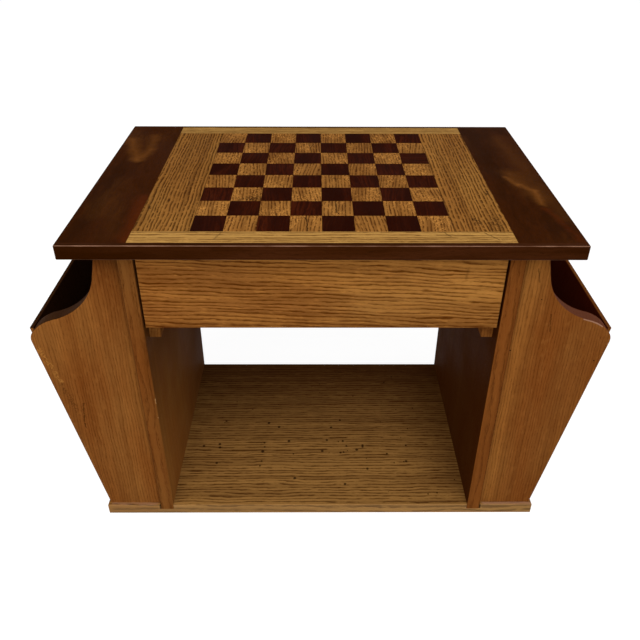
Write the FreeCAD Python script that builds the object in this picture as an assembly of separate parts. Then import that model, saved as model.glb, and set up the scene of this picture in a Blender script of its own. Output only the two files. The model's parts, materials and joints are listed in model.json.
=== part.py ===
# Chess table with an inlaid board, one drawer and two magazine pockets.
#
# Units are millimetres. The origin is on the floor under the middle of the table. +Z is up, -Y is the
# front, where the drawer opens, and +X is to the right of someone who faces the drawer.

import FreeCAD, Part

import math
import os

from FreeCAD import Vector

INCH = 25.4

# --- Driving dimensions ------------------------------------------------------------------------------

# Inlaid top
square = 1.5 * INCH
squares_per_side = 8
strip_width = 1.0 * INCH
field_width = 2.625 * INCH
walnut_width = 3.125 * INCH
edging_thickness = 0.25 * INCH
inlay_thickness = 0.25 * INCH
top_thickness = 0.75 * INCH
tongue_thickness = 0.25 * INCH
tongue_reach = 0.25 * INCH
top_easing = 1.6

# Case
table_height = 19.5 * INCH
board_thickness = 0.75 * INCH
bay_width = 17.5 * INCH
case_depth = 12.25 * INCH
dado_depth = 0.375 * INCH
dado_slack = 0.8
base_lip = 0.125 * INCH
arris = 0.8

# Magazine pockets. The end board's edge runs from the neck under the top, through a hollow and a round,
# over the tip and down the slope to the base.
pocket_setback = 0.1875 * INCH
neck_width = 1.0 * INCH
neck_length = 47.75
neck_lean = 11.5
hollow_radius = 82.5
hollow_sweep = 64.0
round_radius = 52.0
round_sweep = 42.0
tip_radius = 0.75 * INCH
slope_lean = 9.5
outer_panel_thickness = 0.1875 * INCH
outer_panel_rise = 327.25
rabbet_width = 0.375 * INCH

# Drawer and what carries it
drawer_side_gap = 2.6
drawer_top_gap = 1.6
drawer_back_gap = 1.5
running_gap = 0.3
drawer_front_height = 4.625 * INCH
drawer_wood = 0.5 * INCH
drawer_side_height = 4.125 * INCH
drawer_groove_depth = 0.25 * INCH
drawer_bottom_thickness = 0.25 * INCH
drawer_bottom_rise = 0.375 * INCH
drawer_back_inset = 0.5 * INCH
front_rabbet_depth = 0.375 * INCH
runner_width = 0.5625 * INCH
runner_height = 1.5 * INCH
front_overhang = 8.2
cleat = 0.75 * INCH
cleat_length = 10.0 * INCH

# Fasteners: (shank diameter, head diameter, head height, length). Flat sides stand for the round ones.
fastener_sides = 10
point_diameter = 0.5
long_screw = (4.2, 8.4, 2.6, 1.5 * INCH)
short_screw = (4.2, 8.4, 2.6, 1.125 * INCH)
rail_screw = (4.2, 8.4, 2.6, 1.75 * INCH)
base_nail = (2.4, 3.6, 1.0, 2.0 * INCH)
drawer_nail = (1.6, 2.6, 0.8, 1.25 * INCH)
brad = (1.2, 2.0, 0.6, 0.5 * INCH)

# --- Dimensions that follow --------------------------------------------------------------------------

board_half = squares_per_side * square / 2
core_half_length = board_half + field_width
core_half_depth = board_half + strip_width
top_half_length = core_half_length + walnut_width
top_half_depth = core_half_depth + edging_thickness
underside = table_height - top_thickness
inlay_bed = table_height - inlay_thickness

base_top = board_thickness
panel_inner = bay_width / 2
panel_outer = panel_inner + board_thickness
case_front = -case_depth / 2
case_back = case_depth / 2

pocket_front = case_front + pocket_setback
pocket_rabbet_wall = pocket_front + rabbet_width

drawer_half = panel_inner - drawer_side_gap
drawer_inner = drawer_half - drawer_wood
front_top = underside - drawer_top_gap
front_bottom = front_top - drawer_front_height
front_back_face = case_front + board_thickness
runner_top = front_bottom + front_overhang
runner_bottom = runner_top - runner_height
runner_inner = panel_inner - runner_width
rail_front = case_back - board_thickness
drawer_end = rail_front - drawer_back_gap
drawer_floor = runner_top + running_gap
drawer_side_top = drawer_floor + drawer_side_height
side_front = front_back_face - front_rabbet_depth
groove_low = drawer_floor + drawer_bottom_rise
groove_high = groove_low + drawer_bottom_thickness
back_rear = drawer_end - drawer_back_inset
back_front = back_rear - drawer_wood


# --- Helpers -----------------------------------------------------------------------------------------

def box(x, y, z):
    """A block between two values along each axis, given as pairs in any order."""
    low = Vector(min(x), min(y), min(z))
    high = Vector(max(x), max(y), max(z))
    size = high - low
    return Part.makeBox(size.x, size.y, size.z, low)


def about(half):
    """A pair of values, the same distance each side of the middle plane."""
    return (-half, half)


def near(value, target):
    return abs(value - target) < 0.01


def chosen_edges(solid, chosen):
    """The edges for which chosen(bounding box, centre) is true."""
    return [e for e in solid.Edges if chosen(e.BoundBox, e.CenterOfMass)]


def ease(solid, radius, chosen):
    """Rounds the chosen edges."""
    return solid.makeFillet(radius, chosen_edges(solid, chosen))


def break_arris(solid, chosen):
    """Takes the sharpness off the chosen edges with a small flat."""
    return solid.makeChamfer(arris, chosen_edges(solid, chosen))


def mirror(shape, normal):
    """The mirror image of a shape in the plane through the origin with this normal."""
    return shape.mirror(Vector(0, 0, 0), normal)


def to_left(shape):
    return mirror(shape, Vector(1, 0, 0))


def to_back(shape):
    return mirror(shape, Vector(0, 1, 0))


def flat_sided(profile, sides):
    """A turned shape with flat sides; the profile holds (diameter, distance along the axis) pairs."""
    rings = []
    for diameter, distance in profile:
        angles = [math.tau * side / sides for side in range(sides)]
        rings.append([
            Vector(math.cos(angle) * diameter / 2, math.sin(angle) * diameter / 2, distance)
            for angle in angles
        ])
    outlines = [rings[0], rings[-1]]
    for low, high in zip(rings, rings[1:]):
        for side in range(sides):
            outlines.append([low[side - 1], low[side], high[side], high[side - 1]])
    shell = Part.makeShell([Part.Face(Part.makePolygon(corners + corners[:1])) for corners in outlines])
    shell.sewShape()
    return Part.makeSolid(shell)


def fastener(size, point, direction):
    """A nail or screw: a tapered head flush at point, and a pointed shank that runs along direction."""
    shank, head, head_height, length = size
    profile = [(head, 0), (shank, head_height), (shank, length - 2 * shank), (point_diameter, length)]
    solid = flat_sided(profile, fastener_sides)
    solid.Placement = FreeCAD.Placement(point, FreeCAD.Rotation(Vector(0, 0, 1), direction))
    return solid


def both_sides(fasteners):
    """The fasteners of the right side and their mirror images on the left."""
    return fasteners + [to_left(item) for item in fasteners]


def drill(piece, fasteners):
    """Cuts the hole and countersink of each screw that reaches a piece. Nails push the wood aside."""
    reached = [f for f in fasteners if f.BoundBox.intersect(piece.BoundBox)]
    return piece.cut(Part.makeCompound(reached)) if reached else piece


def save(node, shape):
    """Writes one node; a list of separate solids becomes one group."""
    if isinstance(shape, list):
        shape = Part.makeCompound(shape)
    shape.exportStep(f"parts/{node}.step")


# --- Inlaid top --------------------------------------------------------------------------------------

def top_core():
    """The plywood bed of the inlay, with a tongue at each end for the walnut boards."""
    bed = box(about(core_half_length), about(core_half_depth), (underside, inlay_bed))
    middle = (underside + inlay_bed) / 2
    tongue = box(
        about(core_half_length + tongue_reach),
        about(core_half_depth),
        (middle - tongue_thickness / 2, middle + tongue_thickness / 2),
    )
    return bed.fuse(tongue).removeSplitter()


def walnut_board():
    """The solid end board on the right, grooved for the core's tongue and eased along its outer edge."""
    board = box((core_half_length, top_half_length), about(core_half_depth), (underside, table_height))
    eased = ease(board, top_easing, lambda b, c: near(c.x, top_half_length) and near(b.XLength, 0)
                 and near(b.ZLength, 0))
    return eased.cut(top_core())


def edging(outer_sign):
    """A walnut strip along the front (-1) or back (+1), eased on every outer edge."""
    strip = box(
        about(top_half_length),
        (outer_sign * core_half_depth, outer_sign * top_half_depth),
        (underside, table_height),
    )

    def is_outer(b, c):
        along_outer_face = near(c.y, outer_sign * top_half_depth)
        across_an_end = near(abs(c.x), top_half_length) and near(b.ZLength, 0)
        return along_outer_face or across_an_end

    return ease(strip, top_easing, is_outer)


def oak_strip(outer_sign):
    """A pale oak strip between the squares and the edging."""
    return box(
        about(core_half_length),
        (outer_sign * board_half, outer_sign * core_half_depth),
        (inlay_bed, table_height),
    )


def oak_field():
    """The oak field board between the squares and the right walnut board."""
    return box((board_half, core_half_length), about(board_half), (inlay_bed, table_height))


def chess_squares(remainder):
    """Half of the squares: 0 gives the dark ones, with one at the front left corner, and 1 the light."""
    squares = []
    for column in range(squares_per_side):
        for row in range(squares_per_side):
            if (column + row) % 2 == remainder:
                x = column * square - board_half
                y = row * square - board_half
                squares.append(box((x, x + square), (y, y + square), (inlay_bed, table_height)))
    return squares


# --- Magazine pockets --------------------------------------------------------------------------------

def heading(degrees):
    """A direction in the plane of the end board, anticlockwise from +X as seen from the front."""
    return Vector(math.cos(math.radians(degrees)), 0, math.sin(math.radians(degrees)))


def bend(start, toward, radius, turn):
    """An arc that leaves start along toward and turns by turn degrees, anticlockwise when positive."""
    side = math.copysign(radius, turn)
    centre = start + heading(toward + 90) * side
    middle = centre - heading(toward + 90 + turn / 2) * side
    end = centre - heading(toward + 90 + turn) * side
    return Part.Arc(start, middle, end).toShape(), end


def shaped_edge():
    """The end board's outer edge, from the neck at the top down to the foot on the base."""
    neck = Vector(panel_outer + neck_width, 0, underside)
    toward = neck_lean - 90
    below_neck = neck + heading(toward) * neck_length
    edges = [Part.makeLine(neck, below_neck)]
    point = below_neck
    down_slope = -90 - slope_lean
    to_tip = toward + hollow_sweep - round_sweep
    for radius, turn in (
        (hollow_radius, hollow_sweep),
        (round_radius, -round_sweep),
        (tip_radius, down_slope - to_tip),
    ):
        arc, point = bend(point, toward, radius, turn)
        toward += turn
        edges.append(arc)
    slope_length = (point.z - base_top) / math.cos(math.radians(slope_lean))
    foot = point + heading(down_slope) * slope_length
    edges.append(Part.makeLine(point, foot))
    return edges, neck, foot


def sloping_slab(foot, y, low, high):
    """The thin slab that lies just inside the slope, between two heights."""
    thickness = outer_panel_thickness / math.cos(math.radians(slope_lean))
    run = math.tan(math.radians(slope_lean))
    corners = []
    for height in (low, high):
        outer = foot.x + (height - base_top) * run
        corners.append((Vector(outer - thickness, min(y), height), Vector(outer, min(y), height)))
    (inner_low, outer_low), (inner_high, outer_high) = corners
    face = Part.Face(Part.makePolygon([inner_low, outer_low, outer_high, inner_high, inner_low]))
    return face.extrude(Vector(0, max(y) - min(y), 0))


def pocket_end():
    """The right pocket's front end board, with a rabbet behind its slope for the outer panel."""
    edges, neck, foot = shaped_edge()
    inner_top = Vector(panel_outer, 0, underside)
    inner_foot = Vector(panel_outer, 0, base_top)
    edges += [
        Part.makeLine(foot, inner_foot),
        Part.makeLine(inner_foot, inner_top),
        Part.makeLine(inner_top, neck),
    ]
    outline = Part.Wire(Part.__sortEdges__(edges))
    outline.translate(Vector(0, pocket_front, 0))
    board = Part.Face(outline).extrude(Vector(0, board_thickness, 0))
    back_face = pocket_front + board_thickness

    def is_shaped(b, c):
        on_a_face = near(b.YLength, 0) and (near(c.y, pocket_front) or near(c.y, back_face))
        return on_a_face and b.XMax > panel_outer + 1 and b.ZMin < underside - 1 and b.ZMax > base_top + 1

    board = break_arris(board, is_shaped)
    rabbet = sloping_slab(foot, (pocket_rabbet_wall, back_face + 1), base_top - 1, underside)
    return board.cut(rabbet)


def outer_panel():
    """The right pocket's sloping plywood, let in flush between the two end boards."""
    foot = shaped_edge()[2]
    high = base_top + outer_panel_rise
    return sloping_slab(foot, about(-pocket_rabbet_wall), base_top, high)


# --- Case --------------------------------------------------------------------------------------------

def base_half_length():
    """The base reaches past the foot of the pockets by a small lip."""
    return shaped_edge()[2].x + base_lip


def base_board():
    """The base, with a through dado for each side panel, a little wider than the panel."""
    board = box(about(base_half_length()), about(case_back), (0, board_thickness))
    board = break_arris(board, lambda b, c: near(b.ZLength, 0))
    for side in (1, -1):
        board = board.cut(box(
            (side * panel_inner, side * (panel_outer + dado_slack)),
            about(case_back + 1),
            (base_top - dado_depth, base_top + 1),
        ))
    return board


def side_panel():
    """The right upright, with its four long arrises broken."""
    upright = box((panel_inner, panel_outer), about(case_back), (base_top - dado_depth, underside))
    return break_arris(upright, lambda b, c: b.ZLength > board_thickness)


def back_rail():
    """The board between the side panels that closes the drawer bay at the back."""
    return box(about(panel_inner), (rail_front, case_back), (front_bottom, underside))


def drawer_runner():
    """The right runner, from behind the drawer front to the back rail."""
    return box((runner_inner, panel_inner), (front_back_face + running_gap, rail_front),
               (runner_bottom, runner_top))


def top_cleat():
    """The right cleat in the angle between the side panel and the top."""
    return box((panel_outer, panel_outer + cleat), about(cleat_length / 2), (underside - cleat, underside))


# --- Drawer ------------------------------------------------------------------------------------------

def drawer_front():
    """The front, rabbeted at both ends for the sides and grooved for the bottom."""
    board = box(about(drawer_half), (case_front, front_back_face), (front_bottom, front_top))
    board = break_arris(board, lambda b, c: near(c.y, case_front))
    for side in (1, -1):
        board = board.cut(box(
            (side * drawer_inner, side * (drawer_half + 1)),
            (side_front, front_back_face + 1),
            (front_bottom - 1, front_top + 1),
        ))
    groove = box(
        about(drawer_inner + 1),
        (front_back_face - drawer_groove_depth, front_back_face + 1),
        (groove_low, groove_high),
    )
    return board.cut(groove)


def drawer_side():
    """The right side, grooved for the bottom and with a dado for the back."""
    board = box((drawer_inner, drawer_half), (side_front, drawer_end), (drawer_floor, drawer_side_top))
    into = (drawer_inner - 1, drawer_inner + drawer_groove_depth)
    groove = box(into, (side_front - 1, drawer_end + 1), (groove_low, groove_high))
    dado = box(into, (back_front, back_rear), (groove_high, drawer_side_top + 1))
    return board.cut(groove).cut(dado)


def drawer_back():
    """The back, standing on the bottom and held in the dadoes of the sides."""
    return box(about(drawer_inner + drawer_groove_depth), (back_front, back_rear),
               (groove_high, drawer_side_top))


def drawer_bottom():
    """The plywood bottom, in the grooves of the front and sides and under the back."""
    return box(
        about(drawer_inner + drawer_groove_depth),
        (front_back_face - drawer_groove_depth, back_rear),
        (groove_low, groove_high),
    )


# --- Fasteners ---------------------------------------------------------------------------------------

def base_screws():
    """Up through the base into the foot of each side panel."""
    middle = (panel_inner + panel_outer) / 2
    up = Vector(0, 0, 1)
    return both_sides([fastener(long_screw, Vector(middle, y, 0), up) for y in (-110, 0, 110)])


def top_screws():
    """Up through the cleats into the walnut boards."""
    start = Vector(panel_outer + cleat / 2, 0, underside - cleat)
    up = Vector(0, 0, 1)
    return both_sides([fastener(short_screw, start + Vector(0, y, 0), up) for y in (-95, 0, 95)])


def cleat_screws():
    """Through the cleats into the side panels."""
    start = Vector(panel_outer + cleat, 0, underside - cleat / 2)
    inward = Vector(-1, 0, 0)
    return both_sides([fastener(short_screw, start + Vector(0, y, 0), inward) for y in (-50, 50)])


def runner_screws():
    """Through the runners into the side panels."""
    start = Vector(runner_inner, 0, (runner_bottom + runner_top) / 2)
    outward = Vector(1, 0, 0)
    return both_sides([fastener(short_screw, start + Vector(0, y, 0), outward) for y in (-105, 0, 105)])


def rail_screws():
    """Through the side panels into the ends of the back rail."""
    rail_middle = (rail_front + case_back) / 2
    inward = Vector(-1, 0, 0)
    heights = (front_bottom + cleat, underside - cleat)
    return both_sides([fastener(rail_screw, Vector(panel_outer, rail_middle, z), inward) for z in heights])


def pocket_nails():
    """Up through the base into the pocket end boards."""
    middle = pocket_front + board_thickness / 2
    up = Vector(0, 0, 1)
    spots = [(x, y) for x in (panel_outer + 18, panel_outer + 52) for y in (middle, -middle)]
    return both_sides([fastener(base_nail, Vector(x, y, 0), up) for x, y in spots])


def panel_brads():
    """Through the sloping panels into the rabbets, square to the slope."""
    foot = shaped_edge()[2]
    into_the_board = heading(180 - slope_lean)
    ledge = pocket_rabbet_wall + rabbet_width / 2
    brads = []
    for rise in (20, 95, 170, 245, 310):
        run = rise * math.tan(math.radians(slope_lean))
        for y in (ledge, -ledge):
            brads.append(fastener(brad, Vector(foot.x + run, y, base_top + rise), into_the_board))
    return both_sides(brads)


def drawer_nails():
    """Through the drawer sides into the front and the back."""
    inward = Vector(-1, 0, 0)
    front_line = (side_front + front_back_face) / 2
    back_line = (back_front + back_rear) / 2
    spots = [(front_line, drawer_floor + rise) for rise in (26, 52, 92)]
    spots += [(back_line, drawer_floor + rise) for rise in (35, 85)]
    return both_sides([fastener(drawer_nail, Vector(drawer_half, y, z), inward) for y, z in spots])


# --- Assembly ----------------------------------------------------------------------------------------

def save_pair(name, right_piece, screws=()):
    """Saves the right piece and its mirror image on the left, each drilled for its own screws."""
    save(name.format("right"), drill(right_piece, screws))
    save(name.format("left"), drill(to_left(right_piece), screws))


def build_top(screws):
    save("top_core", top_core())
    save_pair("{}_walnut_board", walnut_board(), screws)
    save("front_edging", edging(-1))
    save("back_edging", edging(1))
    save("front_oak_strip", oak_strip(-1))
    save("back_oak_strip", oak_strip(1))
    save_pair("{}_oak_field", oak_field())
    save("dark_squares", chess_squares(0))
    save("light_squares", chess_squares(1))


def build_case(base, cleats, tops, runners, rails):
    save("base_board", drill(base_board(), base))
    save_pair("{}_side_panel", side_panel(), base + cleats + runners + rails)
    save("back_rail", drill(back_rail(), rails))
    save_pair("{}_drawer_runner", drawer_runner(), runners)
    save_pair("{}_top_cleat", top_cleat(), tops + cleats)


def build_pockets():
    front_end = pocket_end()
    save_pair("{}_pocket_front_end", front_end)
    save_pair("{}_pocket_back_end", to_back(front_end))
    save_pair("{}_pocket_outer_panel", outer_panel())


def build_drawer():
    save("drawer_front", drawer_front())
    save_pair("drawer_{}_side", drawer_side())
    save("drawer_back", drawer_back())
    save("drawer_bottom", drawer_bottom())


def build():
    os.makedirs("parts", exist_ok=True)
    groups = {
        "base_screws": base_screws(),
        "top_screws": top_screws(),
        "cleat_screws": cleat_screws(),
        "runner_screws": runner_screws(),
        "rail_screws": rail_screws(),
        "pocket_nails": pocket_nails(),
        "panel_brads": panel_brads(),
        "drawer_nails": drawer_nails(),
    }
    build_top(groups["top_screws"])
    build_case(
        groups["base_screws"],
        groups["cleat_screws"],
        groups["top_screws"],
        groups["runner_screws"],
        groups["rail_screws"],
    )
    build_pockets()
    build_drawer()
    for node, fasteners in groups.items():
        save(node, fasteners)


build()
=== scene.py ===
import json
import math
from typing import NamedTuple

import bmesh
import bpy
import numpy as np
from bpy.props import FloatProperty, FloatVectorProperty, IntProperty, PointerProperty
from mathutils import Matrix, Vector

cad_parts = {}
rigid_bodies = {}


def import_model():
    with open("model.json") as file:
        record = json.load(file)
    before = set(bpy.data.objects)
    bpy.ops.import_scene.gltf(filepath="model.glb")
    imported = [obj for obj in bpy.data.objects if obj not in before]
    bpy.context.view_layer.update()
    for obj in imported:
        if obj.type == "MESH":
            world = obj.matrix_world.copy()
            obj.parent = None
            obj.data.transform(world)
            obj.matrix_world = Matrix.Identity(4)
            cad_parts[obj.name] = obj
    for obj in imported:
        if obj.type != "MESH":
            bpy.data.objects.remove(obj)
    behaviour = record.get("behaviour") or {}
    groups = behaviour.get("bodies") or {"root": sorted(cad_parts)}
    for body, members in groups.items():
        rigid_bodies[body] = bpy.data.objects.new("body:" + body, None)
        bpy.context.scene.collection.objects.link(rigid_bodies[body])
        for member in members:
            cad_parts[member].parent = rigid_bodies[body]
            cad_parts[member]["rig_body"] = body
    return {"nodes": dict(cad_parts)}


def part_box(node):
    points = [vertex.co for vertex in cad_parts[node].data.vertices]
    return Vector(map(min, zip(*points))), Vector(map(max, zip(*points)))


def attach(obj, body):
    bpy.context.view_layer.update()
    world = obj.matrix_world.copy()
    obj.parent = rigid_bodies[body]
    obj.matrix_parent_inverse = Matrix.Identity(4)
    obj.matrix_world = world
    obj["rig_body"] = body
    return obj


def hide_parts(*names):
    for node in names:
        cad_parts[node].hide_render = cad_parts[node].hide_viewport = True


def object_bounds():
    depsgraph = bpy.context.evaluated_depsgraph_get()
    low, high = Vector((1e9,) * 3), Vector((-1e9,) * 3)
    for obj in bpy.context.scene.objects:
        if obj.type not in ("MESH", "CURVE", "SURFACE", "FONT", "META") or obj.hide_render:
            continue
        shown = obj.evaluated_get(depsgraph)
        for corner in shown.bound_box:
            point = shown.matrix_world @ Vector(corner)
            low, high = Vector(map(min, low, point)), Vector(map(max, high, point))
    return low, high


bl_info = {
    "name": "Inlaid Chess Table",
    "version": (1, 0, 0),
    "blender": (4, 5, 0),
    "location": "3D View > Sidebar > Chess Table",
    "description": "Finishes an inlaid chess table: its woods, chess squares, screws, nails and studio",
    "category": "Object",
}

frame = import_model()
CAD_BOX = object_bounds()
MM = 0.001
SQUARES_PER_SIDE = 8


# --- Settings ---

def shade(red, green, blue):
    """A colour given as it looks on screen, 0 to 255, in the linear values that the shaders take."""
    def linear(value):
        part = value / 255
        return part / 12.92 if part <= 0.04045 else ((part + 0.055) / 1.055) ** 2.4
    return linear(red), linear(green), linear(blue)


def colour(label, description, red, green, blue):
    """A colour setting with a default given as it looks on screen."""
    return FloatVectorProperty(name=label, description=description, subtype="COLOR", size=3, min=0, max=1,
                               default=shade(red, green, blue))


def number(subtype="NONE", unit="NONE", scale=1.0, **limits):
    """A kind of number setting. Its defaults are given in a unit that is this many of Blender's own."""
    def setting(label, description, value):
        return FloatProperty(name=label, description=description, subtype=subtype, unit=unit,
                             default=value * scale, **limits)
    return setting


length = number("DISTANCE", "LENGTH", MM, min=0, precision=5)
turn = number("ANGLE", "ROTATION", math.radians(1))
power = number("POWER", "POWER", min=0)
share = number("FACTOR", min=0, max=1)
amount = number(min=0)


class TableWoods(bpy.types.PropertyGroup):
    """The colours of the woods under their varnish, and the painted highlight and shade tones laid on them.
    """
    walnut: colour("Walnut", "Walnut between its dark streaks", 57, 24, 2)
    walnut_dark: colour("Walnut Streak", "The dark streaks of the walnut", 42, 16, 0)
    walnut_red: colour("Walnut Glow", "The redder patches of the walnut", 96, 36, 4)
    walnut_light: colour("Walnut Swirl", "The lighter swirls of the walnut", 122, 72, 26)
    # Also painted highlight on rounded arrises: the top's arrises, the right ogee rim and the base's ledges.
    rubbed: colour("Rubbed Walnut", "Where the arrises of the top are rubbed light", 158, 118, 94)
    edging: colour("Edging", "The walnut edging along front and back", 64, 31, 12)
    strip: colour("Pale Oak", "The pale oak strips along the squares", 180, 135, 70)
    strip_line: colour("Pale Oak Line", "The grain lines of the pale oak", 82, 44, 8)
    field: colour("Field Oak", "The oak fields beside the squares", 164, 113, 51)
    field_warm: colour("Field Oak Patch", "The redder patches of the oak fields", 150, 98, 42)
    field_line: colour("Field Oak Line", "The grain lines of the oak fields", 52, 20, 0)
    light_square: colour("Light Square", "The oak of the light squares", 166, 113, 52)
    light_line: colour("Light Square Line", "The grain lines of the light squares", 58, 18, 0)
    dark_square: colour("Dark Square", "The red-brown wood of the dark squares", 60, 18, 2)
    dark_line: colour("Dark Square Line", "The grain lines of the dark squares", 34, 6, 0)
    dark_light: colour("Dark Square Gleam", "The lighter stripes of the dark squares", 80, 32, 10)
    shelf: colour("Shelf Oak", "The oak of the base board", 151, 108, 55)
    shelf_line: colour("Shelf Oak Line", "The grain lines of the base board", 58, 24, 2)
    case: colour("Case Oak", "The stained oak of the uprights and pockets", 142, 90, 40)
    case_warm: colour("Case Oak Patch", "The redder patches of the stained oak", 126, 70, 26)
    case_line: colour("Case Oak Line", "The grain lines of the stained oak", 84, 42, 12)
    drawer: colour("Drawer Oak", "The oak of the drawer front", 180, 120, 54)
    drawer_line: colour("Drawer Oak Line", "The grain lines of the drawer front", 74, 28, 0)
    bare: colour("Bare Wood", "The unvarnished wood inside", 170, 128, 80)
    bare_line: colour("Bare Wood Line", "The grain lines of the unvarnished wood", 132, 90, 48)
    # Also painted light: the base board's front face is made paler than its top.
    chips_and_lit_front: colour("Chipped Oak", "Chips in an arris, and the paler front of the base board", 214, 168, 110)
    # Painted shade: the dark tone laid inside the drawer bay and the pockets.
    inside_shade: colour("Dark Inside", "The dark stain inside the drawer bay and pockets", 58, 28, 9)
    # Painted shade, in a redder tone, inside the right pocket.
    red_inside_shade: colour("Red Inside", "The redder stain inside the right pocket", 74, 20, 6)
    # The tone laid on the edges of the right pocket's ends; its grey is partly painted sheen.
    right_edge_tone: colour("Worn Edge", "The rubbed edges of the right pocket", 92, 50, 34)
    # Also painted shade inside the left pocket, and the near-black tone of its edges and rim.
    mark: colour("Mark", "Cracks, knots, pin holes and ink", 30, 14, 5)


class TableFinish(bpy.types.PropertyGroup):
    """How the varnish lies and what the years have done to it."""
    gloss: share("Varnish Roughness", "Roughness of the varnish on sound wood", 0.58)
    inside_gloss: share("Bare Roughness", "Roughness of the unvarnished wood", 0.7)
    pore_depth: length("Pore Depth", "How far the open pores sink into the surface", 0.25)
    age: share("Age", "How far the redder patches show", 0.6)
    # The band serves dark seams, and the rubbed walnut arrises with their painted highlight.
    arris_width: length("Rubbed Arris", "Width of the rubbed band along an arris", 1.6)
    corner: length("Corner", "Radius of the upright corners of the top", 4.0)
    seed: IntProperty(name="Seed", description="Fixes the random differences between squares and screws",
                      default=7, min=0)


class TableInlay(bpy.types.PropertyGroup):
    """The chess squares."""
    seam: length("Seam", "Gap between neighbouring squares", 0.12)
    tile_arris: length("Tile Arris", "Width of the tiny flat along each square's top edges", 0.3)
    stray: turn("Stray", "How far a square's grain may stray from straight", 9)
    cross_share: share("Cross Squares", "Share of the squares that lie with their grain across", 0.01)


class TableIron(bpy.types.PropertyGroup):
    """Screws and nails."""
    slot_width: length("Slot Width", "Width of the slot in a screw head", 1.2)
    slot_depth: length("Slot Depth", "Depth of the slot in a screw head", 1.3)
    sides: IntProperty(name="Sides", description="Sides of a round fastener", default=24, min=8, max=64)
    screw: colour("Screw Steel", "The dull zinc of the screws", 158, 153, 140)
    nail: colour("Nail Steel", "The bare steel of the nails", 110, 106, 100)


class TableStudio(bpy.types.PropertyGroup):
    """The camera, the floor and the lamps."""
    eye: FloatVectorProperty(name="Camera Place", description="Where the camera stands", subtype="XYZ",
                             unit="LENGTH", size=3, default=(-0.0075, -0.7844, 0.8633))
    pitch: turn("Camera Pitch", "How far the camera looks down", 29.52)
    yaw: turn("Camera Yaw", "How far the camera turns to the right", 0.44)
    roll: turn("Camera Roll", "How far the camera tips to one side", 0.29)
    lens: amount("Lens", "Focal length in millimetres", 35.80)
    rise: FloatProperty(name="Lens Rise", description="Vertical shift of the lens, in frame widths",
                        default=-0.1502)
    floor: length("Floor", "Length of the floor's sides", 14000)
    floor_tone: share("Floor Tone", "How much light the floor throws back", 0.25)
    key: power("Key Lamp", "Power of the main lamp, high in front", 56)
    fill: power("Fill Lamp", "Power of the second lamp, low at the left front", 18)
    sky_all: share("Sky", "Even light from all round", 0.05)
    sky_front: share("Front Sky", "Further soft light from the front", 0.4)
    sky_back: amount("Back Sky", "Further soft light low behind", 2.4)
    sky_side: amount("Side Sky", "Further soft light low at both sides", 1.9)
    sky_top: share("Top Sky", "Further soft light from above", 0.18)


class TableSettings(bpy.types.PropertyGroup):
    """All settings of the table."""
    woods: PointerProperty(type=TableWoods, name="Woods", description="Colours of the woods")
    finish: PointerProperty(type=TableFinish, name="Finish", description="Varnish and age")
    inlay: PointerProperty(type=TableInlay, name="Inlay", description="Chess squares")
    iron: PointerProperty(type=TableIron, name="Iron", description="Screws and nails")
    studio: PointerProperty(type=TableStudio, name="Studio", description="Camera, floor and lamps")


def settings():
    """The scene's own copy of every setting."""
    return bpy.context.scene.chess_table


# --- Nodes ---

class Wire:
    """A node's output. Arithmetic with wires, numbers and vectors adds the nodes that work it out."""

    def __init__(self, tree, socket):
        self.tree, self.socket = tree, socket

    def __getitem__(self, name):
        return Wire(self.tree, in_use(self.socket.node.outputs, name))

    def __add__(self, other):
        return calc("ADD", self, other)

    def __sub__(self, other):
        return calc("SUBTRACT", self, other)

    def __rsub__(self, other):
        return calc("SUBTRACT", other, self)

    def __mul__(self, other):
        if is_vector(self) and not is_vector(other):
            return add(self.tree, "ShaderNodeVectorMath", {0: self, "Scale": other}, operation="SCALE")
        return calc("MULTIPLY", self, other)

    def __truediv__(self, other):
        return calc("DIVIDE", self, other)

    def __rtruediv__(self, other):
        return calc("DIVIDE", other, self)

    def __abs__(self):
        return calc("ABSOLUTE", self)

    __radd__, __rmul__ = __add__, __mul__

    def parts(self):
        """The X, Y and Z of a vector."""
        made = add(self.tree, "ShaderNodeSeparateXYZ", {"Vector": self})
        return made["X"], made["Y"], made["Z"]

    def stretch(self, along, across):
        """A log point scaled by one factor along the grain and another across it."""
        return self * (along, across, across)

    def noise(self, scale=1.0, detail=2.0, roughness=0.5, distortion=0.0):
        """Smooth noise from 0 to 1 over the points that this carries."""
        return add(self.tree, "ShaderNodeTexNoise", {
            "Vector": self, "Scale": scale, "Detail": detail, "Roughness": roughness,
            "Distortion": distortion,
        })

    def scatter(self, scale):
        """A vector of noise about 0."""
        return self.noise(scale)["Color"] - (0.5, 0.5, 0.5)

    def sway(self, reach):
        """Noise about 0 that reaches this far to either side."""
        return (self.noise(detail=1.0) - 0.5) * (reach * 2.0)

    def ramp(self, start, end, low=0.0, high=1.0):
        """A smooth step from low at start to high at end."""
        return add(self.tree, "ShaderNodeMapRange", {
            "Value": self, "From Min": start, "From Max": end, "To Min": low, "To Max": high,
        }, interpolation_type="SMOOTHSTEP")

    def fade(self, start, end):
        """A smooth step from 1 at start down to 0 at end."""
        return self.ramp(start, end, 1.0, 0.0)

    def between(self, first, second):
        """A colour: the first where this is 0, and the second where it is 1."""
        return add(self.tree, "ShaderNodeMix", {"Factor": self, "A": first, "B": second}, data_type="RGBA")


def is_vector(value):
    """Whether a value or a wire holds a vector or a colour."""
    return value.socket.type in ("VECTOR", "RGBA") if isinstance(value, Wire) else hasattr(value, "__len__")


def in_use(sockets, name):
    """The socket at a number, or the one with a name that its node's options leave in use."""
    if isinstance(name, int):
        return sockets[name]
    return next(socket for socket in sockets if socket.name == name and socket.enabled)


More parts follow.
